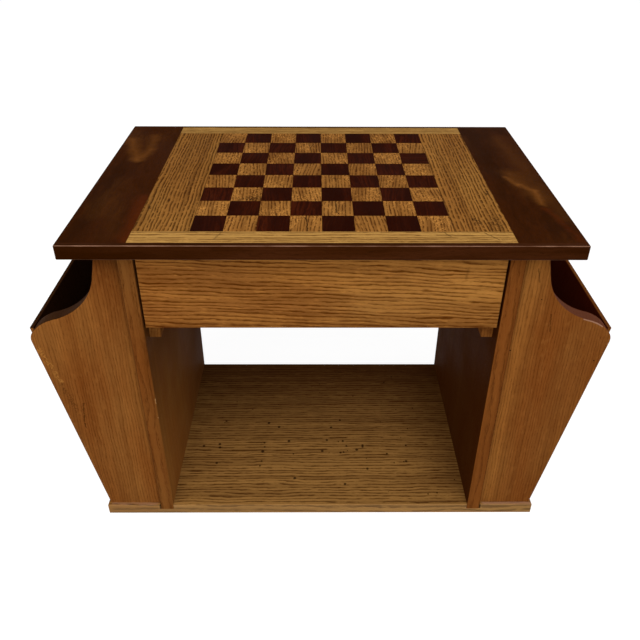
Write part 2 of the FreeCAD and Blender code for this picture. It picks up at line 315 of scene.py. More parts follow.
def feed(tree, socket, value):
    """Joins a wire to a socket, or sets the socket's own value."""
    if isinstance(value, Wire):
        tree.links.new(value.socket, socket)
    elif socket.type == "RGBA":
        socket.default_value = (*value, 1.0)
    else:
        socket.default_value = value


def add(tree, kind, inputs=None, **options):
    """Adds a node with these options and inputs, and gives the first of its outputs in use."""
    made = tree.nodes.new(kind)
    for name, value in options.items():
        setattr(made, name, value)
    for name, value in (inputs or {}).items():
        feed(tree, in_use(made.inputs, name), value)
    return next((Wire(tree, socket) for socket in made.outputs if socket.enabled), None)


def calc(operation, *values):
    """One step of arithmetic, done on vectors where one of the values is a vector."""
    tree = next(value.tree for value in values if isinstance(value, Wire))
    kind = "ShaderNodeVectorMath" if any(map(is_vector, values)) else "ShaderNodeMath"
    return add(tree, kind, dict(enumerate(values)), operation=operation)


def join(x=0.0, y=0.0, z=0.0):
    """A vector from its X, Y and Z."""
    tree = next(value.tree for value in (x, y, z) if isinstance(value, Wire))
    return add(tree, "ShaderNodeCombineXYZ", {"X": x, "Y": y, "Z": z})


def new_group(name, inputs, kind="ShaderNodeTree"):
    """An empty node group and its inputs, each given by its default or by the name of its kind."""
    tree = bpy.data.node_groups.new(name, kind)
    for label, value in inputs.items():
        plain = {float: "Float", int: "Int"}.get(type(value), value)
        made = tree.interface.new_socket(name=label, in_out="INPUT", socket_type="NodeSocket" + plain)
        if plain != value:
            made.default_value = value
    return tree, add(tree, "NodeGroupInput")


def give(tree, kind="Float", **outputs):
    """Ends a group with outputs of one kind."""
    for name in outputs:
        tree.interface.new_socket(name=name, in_out="OUTPUT", socket_type="NodeSocket" + kind)
    add(tree, "NodeGroupOutput", outputs)
    return tree


def place(tree, name, inputs):
    """Places a shared effect in a material."""
    group = bpy.data.node_groups.get(name) or SHARED_EFFECTS[name]()
    return add(tree, "ShaderNodeGroup", inputs, node_tree=group)


def start_tree(owner):
    """The emptied node tree of a material or of the world."""
    owner.use_nodes = True
    owner.node_tree.nodes.clear()
    return owner.node_tree


def close_surface(tree, inputs):
    """Ends a material with a shader that has these inputs."""
    add(tree, "ShaderNodeOutputMaterial", {"Surface": add(tree, "ShaderNodeBsdfPrincipled", inputs)})


# --- Shared effects ---

# Rings: scale along and across the grain and reach in ring widths, then how unequal the years are
RING_DRIFT = (2.2, 9.0)
RING_FLUTTER = ((12.0, 45.0, 0.8), (60.0, 300.0, 0.3))
SEASON_SCALE, SEASON_REACH = 0.31, 0.6

# A year's line: where in the year it is darkest, and how far one year's dashes are from the next year's
LINE_PEAK = 0.32
DASH_STEP, DASH_ROW = 17.3, 5.17

# Ray flecks along the log, round it and out from its pith
RAY_SCALE = (60.0, 230.0, 150.0)

# How fine the bends of the walnut's figure are, and how the scratches are turned
WALNUT_BEND, SCRATCH_TURN = 5.0, (0.3, 0.5, 0.6)

# The torn edge of a mark: how fine it is for its wander, and how far it reaches
TEAR_SCALE, LEAST_WANDER, TEAR_REACH = 0.35, 0.5 * MM, 3.0


def build_oak_grain():
    """Ring-porous wood, solid through the board. A log point lies along X with the pith at Y = Z = 0."""
    tree, enter = new_group("Oak Grain", {
        "Log Point": "Vector", "Ring Width": 0.004, "Line Share": 0.4, "Wander": 0.004, "Dash Length": 0.01,
        "Breaks": 0.7,
    })
    point, ring_width, breaks = enter["Log Point"], enter["Ring Width"], enter["Breaks"]
    x, y, z = point.parts()
    radius = calc("LENGTH", join(y=y, z=z))

    # The rings: slow drift, the sway of the fibres, and small flutter, then unequal years
    distance = radius + point.stretch(*RING_DRIFT).sway(enter["Wander"])
    for along, across, reach in RING_FLUTTER:
        distance += point.stretch(along, across).sway(ring_width * reach)
    rings = distance / ring_width
    season = add(tree, "ShaderNodeTexNoise", {"W": rings, "Scale": SEASON_SCALE, "Detail": 1.0},
                 noise_dimensions="1D")
    rings += season * SEASON_REACH
    year = calc("FLOOR", rings)
    phase = rings - year

    # A year's line starts sharply and fades, and breaks into dashes along the grain
    early = phase.ramp(0.2, LINE_PEAK) * phase.fade(LINE_PEAK, enter["Line Share"] + LINE_PEAK)
    run = join(x / enter["Dash Length"] + year * DASH_STEP, year * DASH_ROW)
    broken = 1.0 - breaks + run.noise(detail=1.0).ramp(0.36, 0.5) * breaks
    strength = add(tree, "ShaderNodeTexWhiteNoise", {"W": year}, noise_dimensions="1D")
    line = early * broken * (strength * 0.3 + 0.7)

    # Open pores, bright ray flecks, curls, and the broad changes of tone
    pore = point.stretch(150.0, 1900.0).noise(detail=1.0).ramp(0.52, 0.68) * (early + 0.35)
    spoke = join(x, calc("ARCTAN2", z, y), radius) * RAY_SCALE
    level = point.stretch(170.0, 270.0).noise(detail=1.0, distortion=0.8)
    curl = abs(level - 0.5).fade(0.01, 0.07) * point.stretch(25.0, 40.0).noise().ramp(0.42, 0.6)
    return give(
        tree, Line=line, Pore=pore, Curl=curl,
        Ray=spoke.noise(detail=1.0, distortion=0.4).ramp(0.56, 0.7),
        Tone=point.stretch(4.0, 20.0).noise(detail=3.0).ramp(0.32, 0.68),
        Band=point.stretch(3.0, 120.0).noise().ramp(0.35, 0.7),
        Height=1.0 - (line * 0.5 + pore * 0.5),
    )


def build_walnut_figure():
    """Diffuse-porous dark wood with soft swirling figure, in the same log coordinates."""
    tree, enter = new_group("Walnut Figure", {"Log Point": "Vector", "Swirl": 0.05})
    point = enter["Log Point"]
    bent = point + point.stretch(5.0, 13.0).scatter(WALNUT_BEND) * enter["Swirl"]
    pore = point.stretch(120.0, 1900.0).noise(detail=1.0).ramp(0.58, 0.72)
    return give(
        tree, Pore=pore, Height=1.0 - pore,
        Streak=bent.stretch(3.0, 30.0).noise(detail=3.0).ramp(0.36, 0.66),
        Figure=bent.stretch(7.0, 16.0).noise(distortion=0.6).ramp(0.5, 0.76),
        Fibre=bent.stretch(9.0, 420.0).noise(),
    )


def build_arris_band():
    """How near a point is to an arris of a box: 1 on it and 0 beyond the width."""
    tree, enter = new_group("Rubbed Arris", {
        "Point": "Vector", "Low Corner": "Vector", "High Corner": "Vector", "Width": 0.002,
    })
    point = enter["Point"]
    x, y, z = calc("MINIMUM", point - enter["Low Corner"], enter["High Corner"] - point).parts()
    second = calc("MAXIMUM", calc("MINIMUM", x, y), calc("MINIMUM", calc("MAXIMUM", x, y), z))
    width = enter["Width"] * (point.noise(45.0) + 0.5)
    patchy = point.noise(11.0).ramp(0.35, 0.6, 0.35, 1.0)
    return give(tree, Arris=(second / width).fade(0.25, 1.0) * patchy)


def build_years():
    """What use leaves on varnish: broad patches, pin-sized dark specks and fine scratches."""
    tree, enter = new_group("Years Of Use", {
        "Point": "Vector", "Speck Spacing": 0.015, "Speck Share": 0.1,
    })
    point = enter["Point"]
    cells = add(tree, "ShaderNodeTexVoronoi", {"Vector": point, "Scale": 1.0 / enter["Speck Spacing"]},
                voronoi_dimensions="2D")
    chance = add(tree, "ShaderNodeSeparateColor", {"Color": cells["Color"]})
    spot = (cells["Distance"] / (chance["Green"] * 0.07 + 0.05)).fade(0.5, 1.0)
    cluster = point.noise(8.0, detail=1.0).ramp(0.42, 0.6)
    kept = calc("LESS_THAN", chance["Red"], enter["Speck Share"] * cluster)
    turned = add(tree, "ShaderNodeMapping", {"Vector": point, "Rotation": SCRATCH_TURN})
    hair = turned.stretch(12.0, 900.0).noise(detail=0.0).ramp(0.7, 0.78)
    return give(
        tree, Patch=point.noise(9.0, detail=4.0, roughness=0.6).ramp(0.38, 0.66), Speck=spot * kept,
        Scratch=hair * point.noise(14.0, detail=1.0).ramp(0.5, 0.7),
    )


def build_mark():
    """A stroke along the line from one point to another, its edge torn by noise: a crack, knot or swirl, and
    also the strokes of painted shade and highlight.
    """
    tree, enter = new_group("Mark", {
        "Point": "Vector", "Start": "Vector", "End": "Vector", "Width": 0.001, "Wander": 0.001, "Core": 0.3,
    })
    point, start, wander = enter["Point"], enter["Start"], enter["Wander"]
    torn = point + point.scatter(TEAR_SCALE / (wander + LEAST_WANDER)) * (wander * TEAR_REACH)
    away, reach = torn - start, enter["End"] - start
    part = calc("DOT_PRODUCT", away, reach) / calc("DOT_PRODUCT", reach, reach)
    part = calc("MINIMUM", calc("MAXIMUM", part, 0.0), 1.0)
    distance = calc("LENGTH", away - reach * part)
    return give(tree, Mark=(distance / enter["Width"]).fade(enter["Core"], 1.0))


SHARED_EFFECTS = {
    "Oak Grain": build_oak_grain,
    "Walnut Figure": build_walnut_figure,
    "Rubbed Arris": build_arris_band,
    "Years Of Use": build_years,
    "Mark": build_mark,
}


# --- Places on the table ---

# How near two points are to be in the same place, or for their vertices to be one
CLOSE, WELD = 0.01 * MM, 0.001 * MM

# The least cosine between a face's normal and the way that it counts as looking
SAME_WAY = 0.7

WAYS = {
    sign + axis: Vector([size * (axis == each) for each in "XYZ"])
    for sign, size in (("-", -1), ("+", 1)) for axis in "XYZ"
}


def box_around(*nodes):
    """The low corner and the high corner around CAD nodes."""
    lows, highs = zip(*(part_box(node) for node in nodes))
    return Vector([min(parts) for parts in zip(*lows)]), Vector([max(parts) for parts in zip(*highs)])


def flat_side(node, way):
    """The side of a node's box that looks one way, such as -Y: its axis and its height."""
    sign, axis = way
    return axis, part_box(node)[sign == "+"]["XYZ".index(axis)]


def on_side(side, spot):
    """A place on a flat side, from its other two coordinates in millimetres."""
    axis, height = side
    point = [part * MM for part in spot]
    point.insert("XYZ".index(axis), height)
    return tuple(point)


def face_plane(node, way):
    """The plane of a node's largest face that looks one way: its normal and its distance."""
    faces = frame["nodes"][node].data.polygons
    best = max(faces, key=lambda face: face.area * (face.normal.dot(WAYS[way]) > SAME_WAY))
    return best.normal.copy(), best.normal.dot(best.center)


# --- Marks and woods ---

ALONG = {
    "X": Matrix.Identity(3),
    "Y": Matrix.Rotation(math.radians(-90), 3, "Z"),
    "Z": Matrix.Rotation(math.radians(90), 3, "Y"),
}
SPECULAR = 0.006

# A face's painted light and shade start and are full at these heights above the face
FACE_SKIN = (-0.8 * MM, -0.3 * MM)

# How far out a mark is solid, as a share of its width: less than 0 is never quite solid
CRISP, HAZY, SOFT = 0.3, -0.2, -0.6

# The specks that a grainy mark is broken into
SPECK_SCALE, SPECK_EDGE = 520.0, (0.46, 0.58)

# Dots: the largest, how their sizes vary from place to place, and their edge and strength
BIG_DOT, DOT_SCALE, DOT_EDGE = 4.2 * MM, 90.0, (0.6, 1.3, 0.85, 0.0)

# A tilted board also turns about Z, by this share of its tilt
TILT_SHARE = 0.7

# Between these cosines with the front, the tone laid on an upright's edges fades out
EDGE_FACING = (0.3, 0.8)

# Lines along the arrises, dark seams and rubbed walnut with painted highlight: the width as a share of the
# usual one, and how strongly walnut is rubbed and lightened as painted highlight
SEAM_WIDTH, RUB_HIGHLIGHT_WIDTH, RUB_HIGHLIGHT_STRENGTH = 0.5, 0.75, 0.8

# How strongly dark specks show in oak, and open pores in walnut
SPECK_STRENGTH, PORE_STRENGTH = 0.9, 0.5

# Tones as shares of the ground's or the line's brightness
RAY_TONE, CURL_TONE, SPECK_TONE, SEAM_TONE, PORE_TONE = 1.3, 1.6, 0.3, 0.5, 0.6

# What pores, patches and scratches add to the roughness
PORE_ROUGH, PATCH_ROUGH, SCRATCH_ROUGH = 0.25, 0.12, 0.2


class Mark(NamedTuple):
    """A crack, stain or swirl on the wood, with the values for its node group."""
    tone: tuple
    strength: float
    grainy: bool
    values: dict


def marks_on(side, *rows, core=CRISP, grainy=False):
    """Marks on a flat side. A row is a tone, a strength, (width, wander), start and end, in millimetres."""
    return [
        Mark(tone, strength, grainy, {
            "Start": on_side(side, start), "End": on_side(side, end), "Width": width * MM,
            "Wander": wander * MM, "Core": core,
        })
        for tone, strength, (width, wander), start, end in rows
    ]


def at_share(tone, share_kept):
    """A colour at a share of its brightness."""
    return tuple(share_kept * part for part in tone)


def log_point(point, grain, centre, pith, tilt=0.0):
    """Turns a point of a board to log coordinates: grain along X, the board's centre at pith."""
    rotation = Matrix.Rotation(tilt, 3, "Y") @ Matrix.Rotation(tilt * TILT_SHARE, 3, "Z") @ ALONG[grain]
    return add(point.tree, "ShaderNodeMapping", {
        "Vector": point, "Rotation": rotation.to_euler(), "Location": Vector(pith) - rotation @ centre,
    })


def square_point(point, pith):
    """Gives each square its own piece of wood: turned about its centre and cut from its own place."""
    centre, angle, cut = (
        add(point.tree, "ShaderNodeAttribute", attribute_name=name)
        for name in ("square_centre", "square_turn", "square_cut")
    )
    turned = add(point.tree, "ShaderNodeVectorRotate", {
        "Vector": point - centre["Vector"], "Angle": angle["Fac"],
    }, rotation_type="Z_AXIS")
    return log_point(turned, "Y", Vector(), pith) + cut["Vector"]


class Wood:
    """A wood's material while its colour is built up in layers."""

    def __init__(self, node, ground, grain, pith, tilt=0.0):
        self.material = bpy.data.materials.new(node.replace("_", " ").title())
        self.tree = start_tree(self.material)
        self.point = add(self.tree, "ShaderNodeTexCoord")["Object"]
        self.colour = ground
        low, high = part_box(node)
        if grain == "own":
            self.log = square_point(self.point, pith)
        else:
            self.log = log_point(self.point, grain, (low + high) / 2, pith, tilt)

    def lay(self, mask, tone):
        """Colours the wood where a mask shows."""
        self.colour = mask.between(self.colour, tone)

    def mark(self, marks, within=1.0):
        """Draws marks, as far as a mask lets them show."""
        for each in marks:
            mask = place(self.tree, "Mark", {"Point": self.point, **each.values})
            if each.grainy:
                mask *= self.point.noise(SPECK_SCALE).ramp(*SPECK_EDGE)
            self.lay(mask * (within * each.strength), each.tone)

    def dot(self, side, spots, tone):
        """Draws small round dots on a flat side."""
        least = BIG_DOT
        for spot in spots:
            least = calc("MINIMUM", least, calc("DISTANCE", self.point, on_side(side, spot)))
        size = self.point.noise(DOT_SCALE) * BIG_DOT
        self.lay((least / size).ramp(*DOT_EDGE), tone)

    def tint_edges(self, tone, strength):
        """Lays a tone on the end grain and edges of an upright board, all faces but its front and back."""
        _, facing, _ = add(self.tree, "ShaderNodeNewGeometry")["Normal"].parts()
        self.lay(abs(facing).ramp(*EDGE_FACING, strength, 0.0), tone)

    def paint_face_light_and_shade(self, plane, tone, strength, shadows):
        """Paints light and shade on one flat face, with marks that lie on that face alone."""
        normal, distance = plane
        on_face = (calc("DOT_PRODUCT", self.point, normal) - distance).ramp(*FACE_SKIN)
        self.lay(on_face * strength, tone)
        self.mark(shadows, within=on_face)

    def tint_arrises(self, box, tone, strength, width):
        """Changes the wood along the arrises of a box: dark seams, and on walnut a rubbed band with painted
        highlight. Width is a share of the usual width.
        """
        arris = place(self.tree, "Rubbed Arris", {
            "Point": self.point, "Low Corner": box[0], "High Corner": box[1],
            "Width": width * settings().finish.arris_width,
        })
        self.lay(arris * strength, tone)

    def close(self, rough, height, depth):
        """Joins the colour, roughness and bump to the shader."""
        bump = add(self.tree, "ShaderNodeBump", {"Height": height, "Distance": depth, "Strength": 1.0})
        close_surface(self.tree, {
            "Base Color": self.colour, "Roughness": rough, "Specular IOR Level": SPECULAR, "Normal": bump,
        })
        return self.material


def oak(node, tones, grain, pith, ring=4.0, line_share=0.4, wander=4.0, dash=10.0, breaks=0.7, depth=0.9,
        pores=0.5, rays=0.2, curls=0.0, band=0.35, tilt=0.0, patch=0.3, specks=0.0, seam=0.0, patches_and_shade=(),
        marks=(), dots=None, face_light_and_shade=(), edges=None, bare=False):
    """Oak for a node. Tones are the ground, a warmer patch and the lines; widths are in millimetres."""
    finish = settings().finish
    ground, warm, line = tones
    wood = Wood(node, ground, grain, pith, tilt)
    look = place(wood.tree, "Oak Grain", {
        "Log Point": wood.log, "Ring Width": ring * MM, "Line Share": line_share, "Wander": wander * MM,
        "Dash Length": dash * MM, "Breaks": breaks,
    })
    years = place(wood.tree, "Years Of Use", {"Point": wood.point, "Speck Share": specks})
    wood.lay(look["Tone"], warm)
    wood.lay(years["Patch"] * (patch * finish.age), warm)
    # Patches of tone, and painted light and shade, laid under the grain.
    wood.mark(patches_and_shade)
    for mask, strength, tone in (
        (look["Band"], band, line), (look["Ray"], rays, at_share(ground, RAY_TONE)),
        (look["Pore"], pores, line), (look["Line"], depth, line),
        (look["Curl"], curls, at_share(ground, CURL_TONE)),
        (years["Speck"], SPECK_STRENGTH, at_share(line, SPECK_TONE)),
    ):
        wood.lay(mask * strength, tone)
    # Painted light and shade laid on whole faces.
    for way, tone, strength, *shadows in face_light_and_shade:
        wood.paint_face_light_and_shade(face_plane(node, way), tone, strength, shadows)
    if seam:
        wood.tint_arrises(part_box(node), at_share(line, SEAM_TONE), seam, SEAM_WIDTH)
    wood.mark(marks)
    if dots:
        wood.dot(*dots)
    if edges:
        wood.tint_edges(*edges)
    gloss = finish.inside_gloss if bare else finish.gloss
    rough = look["Pore"] * PORE_ROUGH + gloss + years["Patch"] * PATCH_ROUGH
    return wood.close(rough, look["Height"], finish.pore_depth)


def walnut(node, tones, grain, pith, swirl, figure, fibre=0.35, highlight_rub_box=None, marks=()):
    """Walnut for a node. Tones are the middle, the dark streak and the light swirl."""
    finish = settings().finish
    middle, streak, light = tones
    wood = Wood(node, middle, grain, pith)
    look = place(wood.tree, "Walnut Figure", {"Log Point": wood.log, "Swirl": swirl * MM})
    years = place(wood.tree, "Years Of Use", {"Point": wood.point})
    wood.lay(look["Streak"], streak)
    wood.lay(look["Figure"] * figure, light)
    wood.lay(look["Fibre"].ramp(0.35, 0.65) * fibre, streak)
    wood.lay(look["Pore"] * PORE_STRENGTH, at_share(streak, PORE_TONE))
    wood.mark(marks)
    # A rubbed band along the top's arrises, lightened as painted highlight.
    if highlight_rub_box:
        wood.tint_arrises(highlight_rub_box, settings().woods.rubbed, RUB_HIGHLIGHT_STRENGTH, RUB_HIGHLIGHT_WIDTH)
    rough = years["Patch"] * PATCH_ROUGH + finish.gloss + years["Scratch"] * SCRATCH_ROUGH
    return wood.close(rough, look["Height"], finish.pore_depth * 0.5)


# --- Pieces ---

# Edges bent less than the first angle go, and edges bent more than the second stay sharp
FLAT_ANGLE, SHARP_ANGLE = math.radians(0.5), math.radians(50)
CORNER_STEPS = 4


def case_tones():
    """The ground, warmer patch and lines of the stained oak."""
    woods = settings().woods
    return woods.case, woods.case_warm, woods.case_line


def bare_tones():
    """The ground and lines of the unvarnished wood, which has no warmer patch."""
    woods = settings().woods
    return woods.bare, woods.bare, woods.bare_line


def dress(node, material):
    """Gives a CAD node its material."""
    mesh = frame["nodes"][node].data
    mesh.materials.clear()
    mesh.materials.append(material)


def put(name, data):
    """Puts a new object in the scene."""
    made = bpy.data.objects.new(name, data)
    bpy.context.scene.collection.objects.link(made)
    return made


def new_piece(name, mesh, node):
    """Puts a finished mesh in the scene in place of a CAD node, on that node's body."""
    made = put(name, mesh)
    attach(made, frame["nodes"][node]["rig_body"])
    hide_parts(node)
    return made


def welded(node):
    """A copy of a node's mesh for editing, with its loose triangles joined."""
    form = bmesh.new()
    form.from_mesh(frame["nodes"][node].data)
    bmesh.ops.remove_doubles(form, verts=form.verts, dist=WELD)
    return form


def soften(node, material, corners_of=None):
    """A joined copy of a node, smooth where it is round, with the upright corners of a box taken off."""
    form = welded(node)
    if corners_of:
        bmesh.ops.dissolve_limit(form, angle_limit=FLAT_ANGLE, verts=form.verts, edges=form.edges)
        bmesh.ops.bevel(form, geom=[edge for edge in form.edges if on_corner(edge, corners_of)],
                        offset=settings().finish.corner, segments=CORNER_STEPS, profile=0.5, affect="EDGES")
    mesh = bpy.data.meshes.new(node + "_finished")
    form.to_mesh(mesh)
    form.free()
    mesh.materials.clear()
    mesh.materials.append(material)
    mesh.shade_smooth()
    mesh.set_sharp_from_angle(angle=SHARP_ANGLE)
    made = new_piece(node + "_finished", mesh, node)
    made.modifiers.new("Flat Faces", "WEIGHTED_NORMAL").keep_sharp = True


def on_corner(edge, box):
    """Whether an edge runs up an outer corner of a box."""
    low, high = box
    return all(min(abs(vert.co[axis] - low[axis]), abs(vert.co[axis] - high[axis])) < CLOSE
               for vert in edge.verts for axis in (0, 1))


def grow(name, mesh, tree, inputs, node):
    """Runs a geometry tree on a mesh and keeps the result as a plain piece in place of a CAD node."""
    start = put(name + "_layout", mesh)
    modifier = start.modifiers.new("Layout", "NODES")
    modifier.node_group = tree
    for item in tree.interface.items_tree:
        if item.in_out == "INPUT" and item.name in inputs:
            modifier[item.identifier] = inputs[item.name]
    graph = bpy.context.evaluated_depsgraph_get()
    plain = bpy.data.meshes.new_from_object(start.evaluated_get(graph))
    bpy.data.objects.remove(start)
    plain.name = name
    new_piece(name, plain, node)


def set_out(tree, points, instance, material, **turned):
    """Ends a geometry tree with a shape set at every point, as real geometry with its material."""
    laid = add(tree, "GeometryNodeInstanceOnPoints", {"Points": points, "Instance": instance, **turned})
    real = add(tree, "GeometryNodeRealizeInstances", {"Geometry": laid})
    painted = add(tree, "GeometryNodeSetMaterial", {"Geometry": real, "Material": material})
    return give(tree, "Geometry", Geometry=painted)


# --- Chess squares ---

# How far along, across and down its log a square may be cut from
CUT_LOW, CUT_HIGH = (-3.0, -0.025, -0.02), (3.0, 0.025, 0.03)


def square_size():
    """The side of one square, from the frame."""
    low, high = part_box("dark_squares")
    return (high.x - low.x) / SQUARES_PER_SIDE


def tile_mesh(side, thickness, flat):
    """One square of the inlay, standing on Z = 0, with its top arrises taken off."""
    mesh = bpy.data.meshes.new("square_tile")
    form = bmesh.new()
    bmesh.ops.create_cube(form, size=1.0)
    bmesh.ops.scale(form, vec=(side, side, thickness), verts=form.verts)
    bmesh.ops.translate(form, vec=(0, 0, thickness / 2), verts=form.verts)
    top = [edge for edge in form.edges if all(vert.co.z > thickness / 2 for vert in edge.verts)]
    bmesh.ops.bevel(form, geom=top, offset=flat, segments=1, affect="EDGES")
    form.to_mesh(mesh)
    form.free()
    return mesh


def random_value(kind, low, high, seed):
    """A random number or vector for each point."""
    return add(seed.tree, "FunctionNodeRandomValue", {"Min": low, "Max": high, "Seed": seed}, data_type=kind)


def build_square_layout():
    """Sets the tile on every second place of the board, each with its own cut and turn of the grain."""
    tree, enter = new_group("Square Layout", {
        "Geometry": "Geometry", "Square": 0.038, "Per Side": SQUARES_PER_SIDE, "Odd Places": 0,
        "Bed Height": 0.489, "Stray": 0.1, "Cross Share": 0.1, "Seed": 0, "Material": "Material",
    }, "GeometryNodeTree")
    per_side, stray, seed = enter["Per Side"], enter["Stray"], enter["Seed"]
    reach = enter["Square"] * (per_side - 1)
    grid = add(tree, "GeometryNodeMeshGrid", {
        "Size X": reach, "Size Y": reach, "Vertices X": per_side, "Vertices Y": per_side,
    })
    index = add(tree, "GeometryNodeInputIndex")
    column, row = calc("FLOOR", index / per_side), calc("MODULO", index, per_side)
    wrong = abs(calc("MODULO", column + row, 2) - enter["Odd Places"])
    kept = add(tree, "GeometryNodeDeleteGeometry", {
        "Geometry": grid, "Selection": calc("GREATER_THAN", wrong, 0.5),
    }, domain="POINT")
    marked = add(tree, "GeometryNodeSetPosition", {
        "Geometry": kept, "Offset": join(z=enter["Bed Height"]),
    })
    astray = random_value("FLOAT", stray * -1.0, stray, seed + 1)
    crossed = calc("LESS_THAN", random_value("FLOAT", 0.0, 1.0, seed + 2), enter["Cross Share"])
    for name, kind, value in (
        ("square_centre", "FLOAT_VECTOR", add(tree, "GeometryNodeInputPosition")),
        ("square_turn", "FLOAT", astray + crossed * (math.pi / 2)),
        ("square_cut", "FLOAT_VECTOR", random_value("FLOAT_VECTOR", CUT_LOW, CUT_HIGH, seed + 3)),
    ):
        marked = add(tree, "GeometryNodeStoreNamedAttribute", {
            "Geometry": marked, "Name": name, "Value": value,
        }, data_type=kind, domain="POINT")
    return set_out(tree, marked, enter["Geometry"], enter["Material"])


def square_marks():
    """Cracks and bruises in the light squares."""
    top, ink = flat_side("dark_squares", "+Z"), settings().woods.mark
    side, half = square_size() / MM, SQUARES_PER_SIDE / 2

    def spot(column, row, across, up):
        return (column + across - half) * side, (row + up - half) * side
    return marks_on(
        top,
        (ink, 0.9, (1.0, 1.0), spot(3, 0, 0.50, 0.98), spot(3, 0, 0.56, 0.02)),
        (ink, 0.8, (0.8, 0.8), spot(3, 0, 0.40, 0.95), spot(3, 0, 0.53, 0.70)),
        (ink, 0.8, (0.9, 1.0), spot(3, 6, 0.52, 0.95), spot(3, 6, 0.64, 0.05)),
        (ink, 0.7, (0.8, 0.8), spot(3, 6, 0.70, 0.85), spot(3, 6, 0.60, 0.50)),
        (ink, 0.7, (1.4, 0.8), spot(4, 1, 0.44, 0.95), spot(4, 1, 0.48, 0.20)),
    ) + marks_on(
        top,
        (ink, 0.9, (10, 5), spot(1, 2, 0.45, 0.1), spot(1, 2, 0.85, 0.2)),
        (ink, 0.6, (6, 4), spot(4, 3, 0.3, 0.7), spot(4, 3, 0.6, 0.7)),
        grainy=True,
    )


def lay_squares():
    """The 32 dark and 32 light squares as separate fitted tiles."""
    table = settings()
    woods, inlay = table.woods, table.inlay
    low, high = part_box("dark_squares")
    side = square_size()
    dark = walnut("dark_squares", (woods.dark_square, woods.dark_line, woods.dark_light), "own",
                  (0.0, 0.12, 0.03), swirl=10.0, figure=0.45, fibre=0.85)
    # Painted shade over the back of the board.
    back_shade = (woods.light_line, 0.4, (430, 20), (-150, 160), (150, 160))
    light = oak(
        "light_squares", (woods.light_square, woods.field_warm, woods.light_line), "own", (1.3, 0.14, 0.03),
        ring=4.1, line_share=0.5, wander=3.0, dash=7.0, breaks=0.85, depth=1.0, pores=0.35, rays=0.4,
        curls=0.7, patches_and_shade=marks_on(flat_side("dark_squares", "+Z"), back_shade, core=-0.3), marks=square_marks(),
    )
    tree = build_square_layout()
    mesh = tile_mesh(side - inlay.seam, high.z - low.z, inlay.tile_arris)
    for node, odd, material, slot in (
        ("dark_squares", 0, dark, "dark_square_walnut"),
        ("light_squares", 1, light, "light_square_oak"),
    ):
        grow(node + "_inlay", mesh.copy(), tree, {
            "Square": side, "Per Side": SQUARES_PER_SIDE, "Odd Places": odd, "Bed Height": low.z,
            "Stray": inlay.stray, "Cross Share": inlay.cross_share, "Seed": table.finish.seed + 10 * odd,
            "Material": material,
        }, node)


# --- Top ---

def swirl_marks(side, top):
    """The lighter, darker and redder swirls of a walnut board."""
    woods = settings().woods
    light, streak, red = woods.walnut_light, woods.walnut_dark, woods.walnut_red
    rows = {
        "left": (
            (light, 0.65, (17, 4), (-288, 126), (-263, 52)),
            (light, 0.6, (15, 4), (-261, 50), (-250, 84)),
            (light, 0.4, (14, 4), (-250, 88), (-256, 140)),
            (light, 0.08, (26, 8), (-272, -60), (-240, -160)),
            (red, 0.6, (20, 5), (-223, -70), (-220, -170)),
        ),
        "right": (
            (light, 0.2, (26, 6), (273, 130), (292, -120)),
            (light, 0.45, (24, 5), (258, 5), (276, -70)),
            (light, 0.7, (7, 3), (248, -6), (259, -28)),
            (light, 0.75, (8, 3), (259, -28), (276, -48)),
            (light, 0.8, (9, 3), (276, -48), (274, -84)),
            (streak, 0.9, (7, 3), (262, -66), (262, -92)),
            (streak, 0.8, (8, 4), (252, -90), (250, -135)),
            (streak, 0.6, (16, 5), (238, 165), (236, 0)),
            (streak, 0.8, (5, 4), (270, -100), (283, -172)),
            (streak, 0.7, (4, 4), (258, -112), (262, -178)),
            (red, 0.4, (9, 5), (276, -96), (292, -176)),
        ),
    }
    return marks_on(top, *rows[side], core=SOFT)


def field_marks(side, top):
    """Bruises and specks in an oak field."""
    ink = settings().woods.mark
    rows = {
        "left": (
            (ink, 0.7, (3, 2), (-214, -88), (-210, -96)),
            (ink, 0.7, (3, 2), (-199, -69), (-192, -75)),
        ),
        "right": (
            (ink, 0.8, (5, 3), (181, -122), (186, -134)),
            (ink, 0.8, (4, 2), (214, -45), (212, -58)),
            (ink, 0.5, (12, 5), (207, -120), (203, -148)),
        ),
    }
    return marks_on(top, *rows[side], grainy=True)


def strip_marks():
    """Short cracks across the front oak strip."""
    ink = settings().woods.mark
    return marks_on(
        flat_side("front_oak_strip", "+Z"),
        (ink, 0.7, (1.1, 1.2), (186, -155), (200, -171)),
        (ink, 0.5, (1.4, 1.2), (140, -154), (146, -163)),
        (ink, 0.35, (1.6, 1.2), (-116, -155), (-122, -170)),
    )


def whole_top():
    """The low corner and the high corner of the top."""
    return box_around("left_walnut_board", "right_walnut_board", "front_edging", "back_edging")


def finish_ends():
    """The walnut boards and the oak fields at both ends of the top."""
    woods = settings().woods
    top = flat_side("left_walnut_board", "+Z")
    # Painted shade over the back of the left field.
    back_shade = marks_on(top, (woods.field_line, 0.25, (250, 20), (-190, 150), (-190, 60)), core=SOFT)
    for side, start in (("left", 0.35), ("right", 2.1)):
        board, field = f"{side}_walnut_board", f"{side}_oak_field"
        dress(board, walnut(
            board, (woods.walnut, woods.walnut_dark, woods.walnut_light), "Y", (start, 0.02, 0.045),
            swirl=35.0, figure=0.1, fibre=0.4, marks=swirl_marks(side, top), highlight_rub_box=whole_top(),
        ))
        dress(field, oak(
            field, (woods.field, woods.field_warm, woods.field_line), "Y", (start, 0.16, 0.03), ring=4.2,
            line_share=0.62, wander=3.0, dash=7.0, breaks=0.8, depth=1.0, pores=0.6, seam=0.7, patches_and_shade=back_shade,
            marks=field_marks(side, top),
        ))


